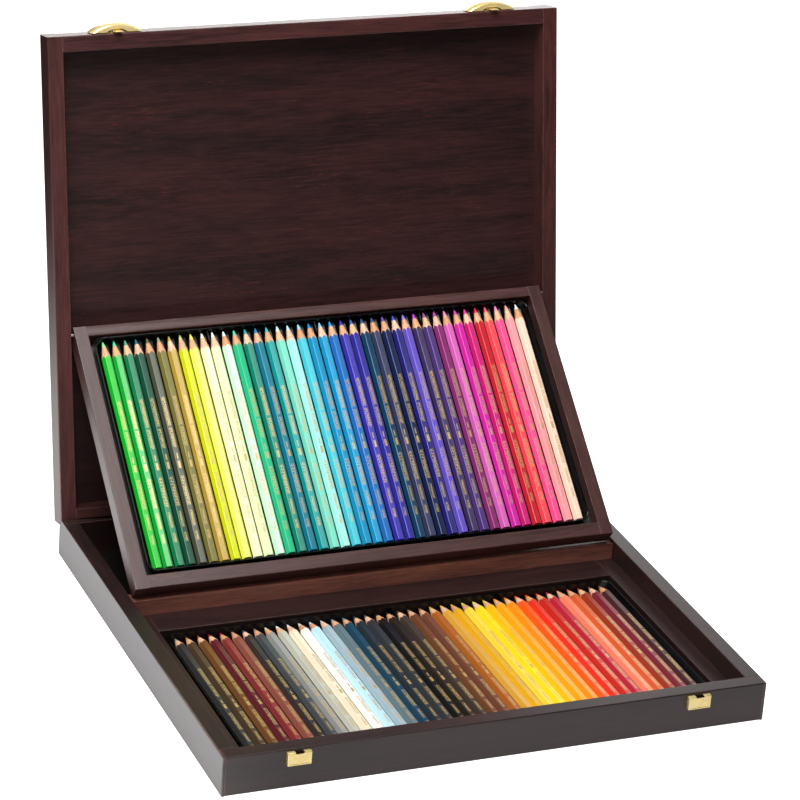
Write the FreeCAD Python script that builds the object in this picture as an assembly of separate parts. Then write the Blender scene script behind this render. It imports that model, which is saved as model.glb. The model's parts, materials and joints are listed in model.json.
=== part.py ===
import FreeCAD, Part
import math
import os

os.makedirs("parts", exist_ok=True)

# Wooden artist's pencil box, standing open: a shallow base with a well for forty pencils and a
# compartment behind it, a lid hinged at the back, and a second tray of forty pencils that hangs on
# two pins in the lid. Millimetres. X runs to the right, Y to the back, Z up. The origin is the
# centre of the base's underside.

# ---- driving dimensions -------------------------------------------------------------------------

# pencils
pencil_count = 40
pencil_bay = 10
pencil_pitch = 8.08
pencil_flats = 6.4
pencil_length = 175.0
lead_radius = 1.5
cone_half_angle = 15.0
butt_cap = 1.0            # lacquered wood behind the end of the lead

# formed inserts that hold the pencils
sheet = 0.6
rim_lip = 0.5
rim_corner = 6.5
wall_corner = 3.0
corner_chords = 3         # flats that a rounded corner of the insert is drawn with
side_draft = 20.0
end_draft = 4.0
seat_slope = 30.0         # a pencil's two lower edges rest in a wide V
pencil_seat_gap = 0.05
seat_margin = 3.4         # outer seats to the insert's edge
rim_over_axis = 3.88      # the rim above the pencils' axes
tip_gap = 0.5
butt_gap = 0.8
rib_width = 1.2
rib_length = 9.0
rib_drop = 1.2            # below the rim

# tray
stile_width = 9.5
top_rail = 7.5
bottom_rail = 9.5
tray_panel = 2.2
tray_panel_seat = 4.0
tray_edge_round = 0.6
insert_below_face = 2.0   # the insert's rim below the tray's upper face
insert_side_gap = 3.5     # to the stiles
insert_top_gap = 1.2      # to the top rail
insert_bottom_gap = 3.3   # to the bottom rail

# the two pins that carry the tray
pin_radius = 1.1
pin_above_rim = 2.4
pin_from_end = 4.0        # from the tray's upper end
pin_below_top = 4.2
pin_in_lid = 7.0
pin_in_tray = 6.0
pin_clearance = 0.05
tray_rest_gap = 0.3

# case
wall = 11.0
corner_lip = 2.0          # wood left outside the end of a front or back wall of the base
edge_round = 0.8          # softened outer edges
lid_edge_round = 2.4      # the lid's upper edges are rounder
base_panel = 3.5
lid_panel = 3.0
lid_height = 18.5
panel_seat = 5.0          # how far a panel lies over the walls that carry it
open_angle = 102.0
hinge_inset = 4.2         # hinge axis to the back face
stop_gap = 0.05           # between the two bevels that stop the lid
fit_gap = 0.05            # between pieces that are let into each other

# inside the base
tray_side_gap = 2.0       # closed tray to the side walls
tray_front_gap = 1.3      # closed tray to the front wall
tray_back_gap = 3.3       # closed tray to the partition
tray_below_rim = 1.0      # closed tray's face below the base's rim, at the front
room_over_pencils = 2.37  # to the top of the battens, on which the closed tray lies
well_side_gap = 2.7       # lower insert to the side battens
well_front_gap = 0.7
well_back_gap = 2.0
partition_thickness = 11.0
partition_drop = 2.5      # its top below the rim

# hinges
hinge_length = 38.0
hinge_spacing = 220.0
hinge_knuckles = 3
knuckle_radius = 1.9
hinge_pin_radius = 0.9
hinge_pin_clearance = 0.05
leaf_thickness = 1.0
leaf_margin = 0.6         # wood left in front of a leaf
knuckle_gap = 0.15
barrel_clearance = 0.25   # round the barrel, to the wood and to the other leaf
hinge_screw_radius = 0.8
hinge_screw_head = 1.55
hinge_screw_length = 9.0
hinge_screws = 2
hinge_screw_pitch = 24.0

# latches: a lever on the lid whose sprung tongue hooks into a catch plate on the base
latch_spacing = 281.0
catch_width = 16.2
catch_height = 9.4
catch_depth = 3.0
catch_below_rim = 1.6
catch_sheet = 0.7
catch_notch = 6.6
catch_prong = 6.0
catch_prong_width = 2.4
catch_lip_depth = 0.45
catch_lip_height = 0.8
plate_width = 24.0
plate_thickness = 0.8
plate_gap = 0.4           # above and below it, inside the lever's walls
latch_axis_out = 3.2      # from the lid's front face
latch_axis_up = 4.2       # above the lid's rim
latch_pin_radius = 0.75
latch_pin_clearance = 0.05
ear_margin = 0.75         # metal round the pin, in the ears and in the lever
ear_thickness = 1.0
ear_gap = 0.25
lever_width = 37.0
lever_height = 12.0
lever_rise = 5.9
lever_above_rim = 1.3
lever_wall = 0.8
lever_edge = 1.2          # bevel round its crown
lever_off_wood = 0.5
lever_arch_width = 16.0
lever_arch_height = 2.6
tongue_width = 5.8
tongue_inner = 1.2        # from the wood
tongue_thickness = 0.55
barb_depth = 0.4
barb_height = 1.2
barb_gap = 0.25
latch_screw_radius = 0.8
latch_screw_head = 1.5
latch_screw_length = 7.0
latch_screw_from_end = 2.4
latch_screw_from_top = 3.2

# ---- derived sizes: pencils make the insert, inserts the tray, and the tray the case -------------


def tan(degrees):
    return math.tan(math.radians(degrees))


def sin(degrees):
    return math.sin(math.radians(degrees))


def cos(degrees):
    return math.cos(math.radians(degrees))


pencil_radius = pencil_flats / 2 / cos(30)
pencil_edge_rise = pencil_radius / 2 * tan(seat_slope)
pencil_axis = sheet + pencil_seat_gap + pencil_edge_rise + pencil_flats / 2
pencil_top = pencil_axis + pencil_flats / 2
seat_rise = pencil_pitch / 2 * tan(seat_slope)

insert_height = pencil_axis + rim_over_axis
end_wall = rim_lip + sheet + rim_over_axis * tan(end_draft)
insert_length = pencil_length + tip_gap + butt_gap + 2 * end_wall
insert_width = pencil_count * pencil_pitch + 2 * seat_margin
tip_place = insert_length - end_wall - tip_gap

tray_thickness = tray_panel + insert_height + insert_below_face
tray_length = bottom_rail + insert_bottom_gap + insert_length + insert_top_gap + top_rail
tray_width = insert_width + 2 * (insert_side_gap + stile_width)
tray_left = -tray_width / 2
tray_right = tray_width / 2
tray_top = pin_below_top
tray_bottom = pin_below_top - tray_thickness
tray_upper_end = pin_from_end
tray_lower_end = pin_from_end - tray_length
tray_floor = tray_bottom + tray_panel
tray_arm = tray_length - pin_from_end

ledge_height = base_panel + pencil_top + room_over_pencils
base_height = ledge_height + tray_thickness + tray_below_rim
partition_height = base_height - partition_drop
rim = base_height
lid_top = rim + lid_height


def tilt_over(drop):
    """Tilt of the tray when its pins are this far above what its lower edge stands on."""
    return math.degrees(math.asin(drop / math.hypot(tray_arm, tray_bottom)) + math.atan2(tray_bottom, tray_arm))


# Lengths along Y from the front wall's inner face, with the tray closed and with it open.
closed_tilt = tilt_over(pin_above_rim + rim - ledge_height - tray_rest_gap)
pin_closed = tray_front_gap + tray_arm * cos(closed_tilt) + tray_top * sin(closed_tilt)
tray_closed_back = pin_closed + pin_from_end * cos(closed_tilt) - tray_bottom * sin(closed_tilt)
partition_place = tray_closed_back + tray_back_gap


def open_tray(reach):
    """Tilt of the open tray for pins this far along the lid, and where its lower edge stands."""
    rise = reach * sin(open_angle) + pin_above_rim * cos(open_angle)
    forward = reach * cos(open_angle) - pin_above_rim * sin(open_angle)
    tilt = tilt_over(rise + partition_drop - tray_rest_gap)
    edge = pin_closed + reach - forward - tray_arm * cos(tilt) - tray_bottom * sin(tilt)
    return tilt, edge


def pin_reach_for(edge_wanted):
    """Distance from hinge to pins that sets the open tray's lower edge down there, by halving."""
    short, long = 0.0, tray_arm
    for step in range(60):
        reach = (short + long) / 2
        if open_tray(reach)[1] < edge_wanted:
            short = reach
        else:
            long = reach
    return reach


pin_reach = pin_reach_for(partition_place + partition_thickness / 2)
tray_tilt, lower_edge = open_tray(pin_reach)
tray_ratio = (closed_tilt - tray_tilt - open_angle) / open_angle

well_length = well_front_gap + insert_length + well_back_gap
back_batten_depth = partition_place - well_length
case_width = tray_width + 2 * (tray_side_gap + wall)
case_depth = wall + pin_closed + pin_reach + hinge_inset
side_batten_width = (tray_width - insert_width) / 2 + tray_side_gap - well_side_gap

# ---- derived places -----------------------------------------------------------------------------

left = -case_width / 2
right = case_width / 2
front = -case_depth / 2
back = case_depth / 2
inner_left = left + wall
inner_right = right - wall
inner_front = front + wall
inner_back = back - wall

hinge_y = back - hinge_inset
hinge_z = rim
bevel_angle = open_angle / 2

well_back = inner_front + well_length
partition_front = inner_front + partition_place
partition_back = partition_front + partition_thickness


def lid_point(reach, height):
    """Place of a point of the open lid: its distance from the hinge, and its height over the rim."""
    y = hinge_y - reach * cos(open_angle) + height * sin(open_angle)
    z = hinge_z + reach * sin(open_angle) + height * cos(open_angle)
    return y, z


pin_y, pin_z = lid_point(pin_reach, pin_above_rim)

# ---- helpers ------------------------------------------------------------------------------------

X_AXIS = FreeCAD.Vector(1, 0, 0)
Y_AXIS = FreeCAD.Vector(0, 1, 0)
Z_AXIS = FreeCAD.Vector(0, 0, 1)
REACH = 1000.0            # longer than the whole object


def vec(x, y, z):
    return FreeCAD.Vector(x, y, z)


def box(x0, x1, y0, y1, z0, z1):
    return Part.makeBox(x1 - x0, y1 - y0, z1 - z0, vec(x0, y0, z0))


def rod_x(radius, x0, x1, y, z):
    return Part.makeCylinder(radius, x1 - x0, vec(x0, y, z), X_AXIS)


def prism_x(points, x0, x1):
    """Solid of constant section: points are (y, z)."""
    corners = [vec(x0, y, z) for y, z in points]
    face = Part.Face(Part.makePolygon(corners + corners[:1]))
    return face.extrude(vec(x1 - x0, 0, 0))


def prism_y(points, y0, y1):
    """Solid of constant section: points are (x, z)."""
    corners = [vec(x, y0, z) for x, z in points]
    face = Part.Face(Part.makePolygon(corners + corners[:1]))
    return face.extrude(vec(0, y1 - y0, 0))


def ring(sides, radius, y):
    """Corners of a regular polygon across the Y axis, one of them straight along X."""
    turns = [2 * math.pi * i / sides for i in range(sides)]
    return [vec(radius * math.cos(turn), y, radius * math.sin(turn)) for turn in turns]


def faceted(sides, profile, y0=0.0):
    """Flat-sided solid along Y: profile is (radius, distance), and may begin or end in a point."""
    rings = [ring(sides, radius, y0 + along) if radius else [vec(0, y0 + along, 0)]
             for radius, along in profile]
    faces = [Part.Face(Part.makePolygon(end + end[:1])) for end in (rings[0], rings[-1]) if len(end) > 1]
    for near, far in zip(rings, rings[1:]):
        for i in range(sides):
            j = (i + 1) % sides
            corners = [near[i], near[j]] if len(near) > 1 else [near[0]]
            corners += [far[j], far[i]] if len(far) > 1 else [far[0]]
            faces.append(Part.Face(Part.makePolygon(corners + corners[:1])))
    solid = Part.Solid(Part.Shell(faces))
    return solid if solid.Volume > 0 else solid.reversed()


def flats_x(sides, radius, x0, x1, y, z):
    """Round bar along X, drawn with flats whose corners lie on the radius."""
    bar = faceted(sides, [(radius, 0), (radius, x1 - x0)])
    bar.rotate(vec(0, 0, 0), Z_AXIS, -90)
    bar.translate(vec(x0, y, z))
    return bar


def bore_x(radius, x0, x1, y, z):
    """Cutter for a round hole, drawn with twelve flats that just clear the radius."""
    return flats_x(12, radius / cos(15), x0, x1, y, z)


def ends(edge):
    return edge.Vertexes[0].Point, edge.Vertexes[-1].Point


def soften(solid, radius, wanted):
    """Round the straight edges for which wanted(start, end) is true."""
    chosen = [edge for edge in solid.Edges if wanted(*ends(edge))]
    return solid.makeFillet(radius, chosen) if chosen else solid


def on(value, place):
    return abs(value - place) < 1e-6


def mirrored(solid):
    return solid.mirror(vec(0, 0, 0), X_AXIS)


def tidy(solid):
    """One clean solid out of a boolean's result."""
    result = solid.removeSplitter()
    return result.Solids[0] if len(result.Solids) == 1 else result


def open_lid(solid):
    """Turn a piece of the closed lid to where it stands when the box is open."""
    moved = solid.copy()
    moved.rotate(vec(0, hinge_y, hinge_z), X_AXIS, -open_angle)
    return moved


def lean_tray(solid):
    """Carry a piece of the tray, drawn flat about its pins, to where the tray leans."""
    moved = solid.copy()
    moved.rotate(vec(0, 0, 0), X_AXIS, tray_tilt)
    moved.translate(vec(0, pin_y, pin_z))
    return moved


def save(node, solids):
    shape = solids[0] if len(solids) == 1 else Part.makeCompound(solids)
    shape.exportStep("parts/" + node + ".step")


# ---- hinges -------------------------------------------------------------------------------------

def hinge_centres():
    return (-hinge_spacing / 2, hinge_spacing / 2)


def knuckle_spans(own):
    """Spans of one leaf's knuckles along the barrel; own is 0 for the base's leaf, 1 for the lid's."""
    pitch = hinge_length / hinge_knuckles
    return [(-hinge_length / 2 + i * pitch + knuckle_gap / 2, -hinge_length / 2 + (i + 1) * pitch
             - knuckle_gap / 2) for i in range(hinge_knuckles) if i % 2 == own]


leaf_front = inner_back + leaf_margin
leaf_back = hinge_y - knuckle_radius - barrel_clearance
screw_row = (leaf_front + leaf_back) / 2


def screw_places(centre):
    middle = (hinge_screws - 1) / 2
    return [centre + (i - middle) * hinge_screw_pitch for i in range(hinge_screws)]


def countersunk_screw(radius, head, length, grow):
    """Plain screw along Y from its head's flat face; grow makes it the hole that it fits."""
    return faceted(8, [(head + grow, 0), (radius + grow, head - radius), (radius + grow, length + grow)])


def hinge_leaf(centre, own):
    """A leaf with its knuckles, in the closed position; own is 0 for the base, 1 for the lid."""
    up = 1 if own else -1
    z_face = hinge_z + up * stop_gap / 2
    z_far = z_face + up * leaf_thickness
    z0, z1 = min(z_face, z_far), max(z_face, z_far)
    half = hinge_length / 2
    leaf = box(centre - half, centre + half, leaf_front, leaf_back, z0, z1)
    for x0, x1 in knuckle_spans(own):
        leaf = leaf.fuse(box(centre + x0, centre + x1, leaf_back - 0.5, hinge_y, z0, z1))
        leaf = leaf.fuse(flats_x(24, knuckle_radius, centre + x0, centre + x1, hinge_y, hinge_z))
    leaf = leaf.cut(bore_x(hinge_pin_radius + hinge_pin_clearance, centre - half, centre + half,
                           hinge_y, hinge_z))
    for x in screw_places(centre):
        leaf = leaf.cut(hinge_screw(x, own, fit_gap))
    return tidy(leaf)


def hinge_screw(x, own, grow=0.0):
    up = 1 if own else -1
    screw = countersunk_screw(hinge_screw_radius, hinge_screw_head, hinge_screw_length, grow)
    screw.rotate(vec(0, 0, 0), X_AXIS, up * 90)
    screw.translate(vec(x, screw_row, hinge_z + up * stop_gap / 2))
    return screw


def hinge_cut(own):
    """Everything that the hinges take out of a back wall: leaf seats, barrel groove, screw holes."""
    up = 1 if own else -1
    z_far = hinge_z + up * (stop_gap / 2 + leaf_thickness + fit_gap)
    z0, z1 = min(hinge_z, z_far), max(hinge_z, z_far)
    cuts = []
    for centre in hinge_centres():
        half = hinge_length / 2 + fit_gap
        cuts.append(box(centre - half, centre + half, leaf_front - fit_gap, hinge_y, z0, z1))
        cuts.append(rod_x(knuckle_radius + barrel_clearance, centre - half, centre + half, hinge_y, hinge_z))
        cuts += [hinge_screw(x, own, fit_gap) for x in screw_places(centre)]
    return cuts


def bevel(own):
    """Wedge taken off the back edge, so that base and lid meet bevel to bevel when open."""
    up = 1 if own else -1
    slope = tan(bevel_angle)
    start = hinge_y - stop_gap / 2
    out = back + 1.0
    return prism_x([(start, hinge_z), (out, hinge_z + up * (out - start) * slope),
                    (out, hinge_z - up), (start, hinge_z - up)], left - 1, right + 1)


# ---- base ---------------------------------------------------------------------------------------

def base_front_wall():
    solid = box(left + corner_lip, right - corner_lip, front, inner_front, 0, rim)
    solid = solid.cut(bottom_rebate())
    for side in (-1, 1):
        solid = solid.cut(catch_slots(side * latch_spacing / 2))
    return soften(tidy(solid), edge_round, lambda a, b: on(a.y, front) and on(b.y, front)
                  and on(a.z, b.z) and (on(a.z, rim) or on(a.z, 0)))


def base_back_wall():
    solid = box(left + corner_lip, right - corner_lip, inner_back, back, 0, rim)
    solid = solid.cut([bottom_rebate(), bevel(0)] + hinge_cut(0))
    return soften(tidy(solid), edge_round, lambda a, b: on(a.y, back) and on(b.y, back)
                  and on(a.z, 0) and on(b.z, 0))


def base_side_wall():
    """Left side wall; its ends are rabbeted for the front and back walls."""
    solid = box(left, inner_left, front, back, 0, rim)
    rabbets = [box(left + corner_lip, inner_left, front, inner_front, 0, rim),
               box(left + corner_lip, inner_left, inner_back, back, 0, rim)]
    solid = solid.cut([bottom_rebate(), bevel(0)] + rabbets)
    return soften(tidy(solid), edge_round, lambda a, b: on(a.x, left) and on(b.x, left))


def bottom_rebate():
    """Space of the bottom panel, which lies flush under the walls."""
    return box(inner_left - panel_seat, inner_right + panel_seat, inner_front - panel_seat,
               inner_back + panel_seat, 0, base_panel)


def base_bottom_panel():
    return box(inner_left - panel_seat, inner_right + panel_seat, inner_front - panel_seat,
               inner_back + panel_seat, 0, base_panel)


def side_batten():
    """Left batten, from the front wall to the partition."""
    return box(inner_left, inner_left + side_batten_width, inner_front, partition_front,
               base_panel, ledge_height)


def back_batten():
    return box(inner_left + side_batten_width, inner_right - side_batten_width, well_back,
               partition_front, base_panel, ledge_height)


def rear_partition():
    solid = box(inner_left, inner_right, partition_front, partition_back, base_panel,
                partition_height)
    return soften(solid, edge_round, lambda a, b: on(a.z, partition_height)
                  and on(b.z, partition_height) and on(a.y, b.y))


# ---- lid, drawn closed --------------------------------------------------------------------------

def lid_rebate():
    """Space of the lid's panel, which lies flush between the walls' upper edges."""
    return box(inner_left - panel_seat, inner_right + panel_seat, inner_front - panel_seat,
               inner_back + panel_seat, lid_top - lid_panel, lid_top)


def lid_front_wall():
    solid = box(inner_left, inner_right, front, inner_front, rim, lid_top)
    solid = solid.cut([lid_rebate()] + [latch_screw(x, fit_gap) for x in latch_screw_places()])
    solid = soften(tidy(solid), lid_edge_round, lambda a, b: on(a.y, front) and on(b.y, front)
                   and on(a.z, lid_top) and on(b.z, lid_top))
    return soften(solid, edge_round, lambda a, b: on(a.y, front) and on(b.y, front)
                  and on(a.z, rim) and on(b.z, rim))


def lid_back_wall():
    solid = box(inner_left, inner_right, inner_back, back, rim, lid_top)
    solid = solid.cut([lid_rebate(), bevel(1)] + hinge_cut(1))
    return soften(tidy(solid), lid_edge_round, lambda a, b: on(a.y, back) and on(b.y, back)
                  and on(a.z, lid_top) and on(b.z, lid_top))


def lid_side_wall():
    """Left wall, which runs the full depth; the pin's hole is in its inner face."""
    solid = box(left, inner_left, front, back, rim, lid_top)
    hole = bore_x(pin_radius, inner_left - pin_in_lid, inner_left + 1, hinge_y - pin_reach,
                  rim + pin_above_rim)
    solid = tidy(solid.cut([lid_rebate(), bevel(1), hole]))
    solid = soften(solid, lid_edge_round, lambda a, b: (on(a.x, left) and on(b.x, left))
                   and on(a.z, lid_top) and on(b.z, lid_top))
    return soften(solid, edge_round, lambda a, b: on(a.x, left) and on(b.x, left)
                  and on(a.z, rim) and on(b.z, rim))


def lid_panel_board():
    return lid_rebate()


def tray_pin():
    """Steel pin in the lid's left wall, reaching into the tray's stile."""
    x0 = inner_left - pin_in_lid
    x1 = tray_left + pin_in_tray
    pin = rod_x(pin_radius, x0, x1, hinge_y - pin_reach, rim + pin_above_rim)
    return pin


# ---- latches, drawn with the lid closed ---------------------------------------------------------

def latch_screw_places():
    """Two screws hold each latch plate, outside the lever's pivot ears."""
    offset = plate_width / 2 - latch_screw_from_end
    return [side * latch_spacing / 2 + end * offset for side in (-1, 1) for end in (-1, 1)]


def latch_screw(x, grow=0.0):
    z = plate_span()[1] - latch_screw_from_top
    screw = countersunk_screw(latch_screw_radius, latch_screw_head, latch_screw_length, grow)
    screw.translate(vec(x, front - plate_thickness, z))
    return screw


def latch_axis():
    return front - latch_axis_out, rim + latch_axis_up


def plate_span():
    """Bottom and top of the plate, inside the lever's lower and upper walls."""
    inset = lever_wall + plate_gap
    return rim + lever_above_rim + inset, rim + lever_above_rim + lever_height - inset


def ear_places(centre):
    half = tongue_width / 2 + ear_gap
    return [(centre - half - ear_thickness, centre - half), (centre + half, centre + half + ear_thickness)]


def latch_plate(centre):
    y, z = latch_axis()
    reach = latch_pin_radius + ear_margin
    bottom, top = plate_span()
    plate = box(centre - plate_width / 2, centre + plate_width / 2, front - plate_thickness, front,
                bottom, top)
    for x0, x1 in ear_places(centre):
        outline = [(front, z - reach), (y, z - reach), (y - reach, z - reach / 2), (y - reach, z + reach / 2),
                   (y, z + reach), (front, z + reach)]
        plate = plate.fuse(prism_x(outline, x0, x1))
    plate = plate.cut(bore_x(latch_pin_radius, centre - plate_width, centre + plate_width, y, z))
    ends_x = [x for x in latch_screw_places() if abs(x - centre) < plate_width]
    plate = plate.cut([latch_screw(x, fit_gap) for x in ends_x])
    return tidy(plate)


def latch_pin(centre):
    y, z = latch_axis()
    half = tongue_width / 2 + ear_gap + ear_thickness
    return rod_x(latch_pin_radius, centre - half, centre + half, y, z)


def bow(centre, width, rise, y_foot, z0, z1):
    """Solid under an arc that spans width and stands rise proud of y_foot."""
    start = vec(centre - width / 2, y_foot, z0)
    end = vec(centre + width / 2, y_foot, z0)
    crown = vec(centre, y_foot - rise, z0)
    arc = Part.Arc(start, crown, end).toShape()
    face = Part.Face(Part.Wire([arc, Part.makeLine(end, start)]))
    return face.extrude(vec(0, 0, z1 - z0))


def latch_lever(centre):
    """Bowed cap with an arched opening in its lower edge, a pivot barrel and the hooked tongue."""
    y, z = latch_axis()
    foot = front - lever_off_wood
    bottom = rim + lever_above_rim
    top = bottom + lever_height
    cap = bow(centre, lever_width, lever_rise, foot, bottom, top)
    crown_edges = [edge for edge in cap.Edges if edge.Curve.TypeId == "Part::GeomCircle"]
    cap = cap.makeChamfer(lever_edge, crown_edges)
    hollow = bow(centre, lever_width - 5 * lever_wall, lever_rise - lever_wall, foot,
                 bottom + lever_wall, top - lever_wall)
    below = box(centre - lever_width, centre + lever_width, foot, foot + 1, bottom, top)
    cap = cap.cut([hollow, below])
    arch = bow(centre, lever_arch_width, lever_arch_height, foot, bottom - 1, bottom + 2 * lever_wall)
    cap = cap.cut(arch)
    x0 = centre - tongue_width / 2
    x1 = centre + tongue_width / 2
    reach = latch_pin_radius + ear_margin
    barrel = prism_x([(foot - lever_rise + lever_wall / 2, z - reach), (y, z - reach),
                      (y + reach, z - reach / 2), (y + reach, z + reach / 2), (y, z + reach),
                      (foot - lever_rise + lever_wall / 2, z + reach)], x0, x1)
    inner = front - tongue_inner
    outer = inner - tongue_thickness
    barb_top = rim - catch_below_rim - catch_lip_height - barb_gap
    barb_end = barb_top - barb_height
    tongue = prism_x([(inner, z), (inner, barb_end), (outer, barb_end), (outer - barb_depth, barb_top),
                      (outer, barb_top), (outer, z - reach / 2), (y, z - reach / 2), (y, z)], x0, x1)
    lever = cap.fuse([barrel, tongue])
    lever = lever.cut(bore_x(latch_pin_radius + latch_pin_clearance, x0 - 1, x1 + 1, y, z))
    return tidy(lever)


def catch_outline():
    top = rim - catch_below_rim
    return top - catch_height, top


def catch_prongs(centre, grow=0.0):
    """Two tongues of the catch plate's side walls, driven into the base's front wall."""
    bottom, top = catch_outline()
    middle = (bottom + top) / 2
    half = catch_prong_width / 2 + grow
    prongs = []
    for side in (-1, 1):
        outer = centre + side * (catch_width / 2 + grow)
        inner = centre + side * (catch_width / 2 - catch_sheet - grow)
        prongs.append(box(min(outer, inner), max(outer, inner), front, front + catch_prong + grow,
                          middle - half, middle + half))
    return prongs


def catch_slots(centre):
    return catch_prongs(centre, fit_gap)


def catch_plate(centre):
    bottom, top = catch_outline()
    half = catch_width / 2
    face = front - catch_depth
    solid = box(centre - half, centre + half, face, front, bottom, top)
    solid = soften(solid, catch_sheet / 2, lambda a, b: on(a.y, face) and on(b.y, face))
    hollow = box(centre - half + catch_sheet, centre + half - catch_sheet, face + catch_sheet, front,
                 bottom + catch_sheet, top - catch_sheet)
    notch = box(centre - catch_notch / 2, centre + catch_notch / 2, face + catch_sheet, front,
                bottom + catch_sheet, top)
    lip = box(centre - catch_notch / 2, centre + catch_notch / 2, face + catch_sheet,
              face + catch_sheet + catch_lip_depth, top - catch_lip_height, top - catch_sheet / 2)
    solid = solid.cut([hollow, notch]).fuse([lip] + catch_prongs(centre))
    return tidy(solid)


# ---- tray, drawn flat about its pins ------------------------------------------------------------

def tray_rebate():
    """Space of the tray's panel, flush under its frame."""
    return box(tray_left + stile_width - tray_panel_seat, tray_right - stile_width + tray_panel_seat,
               tray_lower_end + bottom_rail - tray_panel_seat,
               tray_upper_end - top_rail + tray_panel_seat, tray_bottom, tray_floor)


def tray_stile():
    """Left stile, full length, with the pin's hole."""
    solid = box(tray_left, tray_left + stile_width, tray_lower_end, tray_upper_end, tray_bottom,
                tray_top)
    hole = bore_x(pin_radius + pin_clearance, tray_left - 1, tray_left + pin_in_tray + fit_gap, 0, 0)
    solid = tidy(solid.cut([tray_rebate(), hole]))
    return soften(solid, tray_edge_round, lambda a, b: on(a.x, tray_left) and on(b.x, tray_left)
                  and on(a.z, b.z) and a.distanceToPoint(b) > stile_width)


def tray_rail(y0, y1):
    solid = box(tray_left + stile_width, tray_right - stile_width, y0, y1, tray_bottom, tray_top)
    return tidy(solid.cut(tray_rebate()))


# ---- inserts and pencils, drawn flat: Y from the pencils' flat ends to their points --------------

def rounded_outline(half_x, y0, y1, radius, z):
    """Closed wire of a rectangle whose round corners are drawn with a few chords."""
    points = []
    corners = [(half_x, y1, 0), (-half_x, y1, 90), (-half_x, y0, 180), (half_x, y0, 270)]
    for x, y, turn in corners:
        inward = vec(cos(turn + 45), sin(turn + 45), 0) * (radius * math.sqrt(2))
        centre = vec(x, y, z) - inward
        for k in range(corner_chords + 1):
            angle = turn + 90 * k / corner_chords
            points.append(centre + vec(cos(angle), sin(angle), 0) * radius)
    return Part.makePolygon(points + points[:1])


def tub(inset, radius, z0, z1):
    """Drafted block under the insert's rim, inset from the rim's outline."""
    def outline(z):
        depth = insert_height - z
        dx = inset + depth * tan(side_draft)
        dy = inset + depth * tan(end_draft)
        return rounded_outline(insert_width / 2 - dx, dy, insert_length - dy, radius, z)
    return Part.makeLoft([outline(z0), outline(z1)], True, True)


def seat_sheet():
    """Corrugated floor: one V-shaped seat for each pencil."""
    half = pencil_count / 2
    low_line = []
    for i in range(2 * pencil_count + 1):
        x = (i / 2 - half) * pencil_pitch
        low_line.append((x, seat_rise if i % 2 == 0 else 0.0))
    high_line = [(x, z + sheet) for x, z in reversed(low_line)]
    return prism_y(low_line + high_line, 0, insert_length)


def insert():
    body = tub(rim_lip, wall_corner, 0, insert_height)
    inside = tub(rim_lip + sheet, wall_corner - sheet, -1, insert_height + 1)
    rim_block = Part.Face(rounded_outline(insert_width / 2, 0, insert_length, rim_corner,
                                          insert_height - sheet)).extrude(vec(0, 0, sheet))
    walls = body.fuse(rim_block).cut(inside)
    floor = seat_sheet().common(body)
    shape = walls.fuse(floor)
    wall_face = insert_length - rim_lip - sheet
    for i in range(pencil_bay, pencil_count, pencil_bay):
        x = (i - pencil_count / 2) * pencil_pitch
        rib = box(x - rib_width / 2, x + rib_width / 2, wall_face - rib_length, wall_face,
                  seat_rise, insert_height - rib_drop)
        shape = shape.fuse(rib.common(body))
    return tidy(shape)


def pencil_casing():
    """Hexagonal casing lying on a flat, its point cutting the flats into scallops."""
    blank = faceted(6, [(pencil_radius, 0), (pencil_radius, pencil_length)])
    return tidy(blank.common(sharpener()).cut(lead_rod()))


def sharpener():
    """What is left of a pencil's length by a cone of twelve flats that ends in the point."""
    wide = 2 * pencil_radius
    shoulder = pencil_length - wide / tan(cone_half_angle)
    return faceted(12, [(wide, 0), (wide, shoulder), (0, pencil_length)])


def lead_rod():
    return faceted(6, [(lead_radius, butt_cap), (lead_radius, pencil_length)])


def pencil_lead():
    """Hexagonal rod whose point carries the casing's cone on."""
    shoulder = pencil_length - lead_radius / tan(cone_half_angle)
    return faceted(6, [(lead_radius, butt_cap), (lead_radius, shoulder), (0, pencil_length)])


def pencil_places():
    """Centre of each pencil's flat end in the insert's own frame."""
    middle = (pencil_count - 1) / 2
    return [vec((i - middle) * pencil_pitch, tip_place - pencil_length, pencil_axis)
            for i in range(pencil_count)]


# ---- build --------------------------------------------------------------------------------------

def save_pair(left_node, right_node, solid, pose):
    save(left_node, [pose(solid)])
    save(right_node, [pose(mirrored(solid))])


def as_drawn(solid):
    return solid


def save_pencils(level, origin, pose):
    casing = pencil_casing()
    lead = pencil_lead()
    places = pencil_places()
    for bay in range(pencil_count // pencil_bay):
        row = places[bay * pencil_bay:(bay + 1) * pencil_bay]
        for name, master in (("casings", casing), ("leads", lead)):
            solids = []
            for place in row:
                solid = master.copy()
                solid.translate(place + origin)
                solids.append(pose(solid))
            save("%s_pencil_%s_%d" % (level, name, bay + 1), solids)


save("base_front_wall", [base_front_wall()])
save("base_back_wall", [base_back_wall()])
save_pair("base_left_wall", "base_right_wall", base_side_wall(), as_drawn)
save("base_bottom_panel", [base_bottom_panel()])
save_pair("left_batten", "right_batten", side_batten(), as_drawn)
save("back_batten", [back_batten()])
save("rear_partition", [rear_partition()])

save("lid_front_wall", [open_lid(lid_front_wall())])
save("lid_back_wall", [open_lid(lid_back_wall())])
save_pair("lid_left_wall", "lid_right_wall", lid_side_wall(), open_lid)
save("lid_panel", [open_lid(lid_panel_board())])
save("tray_pivot_pins", [open_lid(tray_pin()), open_lid(mirrored(tray_pin()))])

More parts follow.
